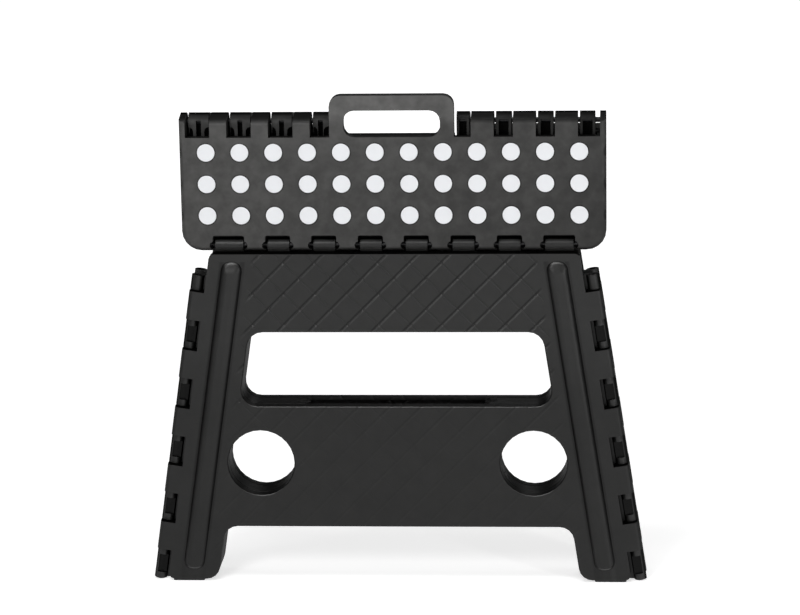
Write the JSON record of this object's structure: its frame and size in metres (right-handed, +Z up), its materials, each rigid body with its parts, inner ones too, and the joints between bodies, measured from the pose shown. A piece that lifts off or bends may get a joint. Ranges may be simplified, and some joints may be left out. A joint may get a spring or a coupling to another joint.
{
  "type": "step stool",
  "caption": "Folding step stool with a split platform, carrying handle, windowed leg panels and folding side panels on pinned knuckle hinges, standing folded flat.",
  "frame": {"origin": "on the floor under the middle of the folded stack, centred left to right and front to back", "axes": "+Z up, -Y towards the front face, +X to the right of someone who looks at the front"},
  "size_m": [0.4694, 0.0492, 0.467],
  "materials": {
    "platform_plastic": "satin charcoal moulded polypropylene",
    "leg_plastic": "satin charcoal moulded polypropylene",
    "hinge_pin": "smooth black plastic",
    "foot_rubber": "matte black rubber"
  },
  "bodies": {
    "leg_front": {"leg_front": "leg_plastic", "side_pin_left_front": "hinge_pin", "foot_pad_left_front": "foot_rubber", "platform_pin_left_front_1": "hinge_pin", "platform_pin_left_front_2": "hinge_pin", "platform_pin_left_front_3": "hinge_pin", "platform_pin_left_front_4": "hinge_pin", "side_pin_right_front": "hinge_pin", "foot_pad_right_front": "foot_rubber", "platform_pin_right_front_1": "hinge_pin", "platform_pin_right_front_2": "hinge_pin", "platform_pin_right_front_3": "hinge_pin", "platform_pin_right_front_4": "hinge_pin"},
    "platform_front": {"platform_front": "platform_plastic", "centre_pin_left": "hinge_pin", "centre_pin_right": "hinge_pin"},
    "platform_back": {"platform_back": "platform_plastic"},
    "leg_back": {"leg_back": "leg_plastic", "side_pin_left_back": "hinge_pin", "foot_pad_left_back": "foot_rubber", "platform_pin_left_back_1": "hinge_pin", "platform_pin_left_back_2": "hinge_pin", "platform_pin_left_back_3": "hinge_pin", "platform_pin_left_back_4": "hinge_pin", "side_pin_right_back": "hinge_pin", "foot_pad_right_back": "foot_rubber", "platform_pin_right_back_1": "hinge_pin", "platform_pin_right_back_2": "hinge_pin", "platform_pin_right_back_3": "hinge_pin", "platform_pin_right_back_4": "hinge_pin"},
    "side_left_front": {"side_left_front": "leg_plastic", "mid_pin_left_upper": "hinge_pin", "mid_pin_left_lower": "hinge_pin"},
    "side_left_back": {"side_left_back": "leg_plastic"},
    "side_right_front": {"side_right_front": "leg_plastic", "mid_pin_right_upper": "hinge_pin", "mid_pin_right_lower": "hinge_pin"},
    "side_right_back": {"side_right_back": "leg_plastic"}
  },
  "joints": [
    {"name": "fold", "type": "hinge", "parent": "leg_front", "child": "platform_front", "pos_m": [0, -0.011, 0.3255], "axis": [-1, 0, 0], "range_deg": [0, 90]},
    {"name": "centre_hinge", "type": "hinge", "parent": "platform_front", "child": "platform_back", "pos_m": [0, 0, 0.44], "axis": [1, 0, 0], "range_deg": [0, 180]},
    {"name": "back_leg_hinge", "type": "hinge", "parent": "platform_back", "child": "leg_back", "pos_m": [0, 0.011, 0.3255], "axis": [-1, 0, 0], "range_deg": [0, 90]},
    {"name": "left_side_hinge", "type": "hinge", "parent": "leg_front", "child": "side_left_front", "pos_m": [-0.22883, -0.011, 0], "axis": [0.1504, 0, 0.9886], "range_deg": [0, 90]},
    {"name": "left_middle_hinge", "type": "hinge", "parent": "side_left_front", "child": "side_left_back", "pos_m": [-0.11563, 0, -0.01722], "axis": [-0.1504, 0, -0.9886], "range_deg": [0, 180]},
    {"name": "right_side_hinge", "type": "hinge", "parent": "leg_front", "child": "side_right_front", "pos_m": [0.22883, -0.011, 0], "axis": [0.1504, 0, -0.9886], "range_deg": [0, 90]},
    {"name": "right_middle_hinge", "type": "hinge", "parent": "side_right_front", "child": "side_right_back", "pos_m": [0.11563, 0, -0.01722], "axis": [-0.1504, 0, 0.9886], "range_deg": [0, 180]}
  ],
  "couplings": [
    {"joint": "centre_hinge", "follows": "fold", "ratio": 2},
    {"joint": "back_leg_hinge", "follows": "fold", "ratio": 1},
    {"joint": "left_side_hinge", "follows": "fold", "ratio": 1},
    {"joint": "left_middle_hinge", "follows": "fold", "ratio": 2},
    {"joint": "right_side_hinge", "follows": "fold", "ratio": 1},
    {"joint": "right_middle_hinge", "follows": "fold", "ratio": 2}
  ]
}
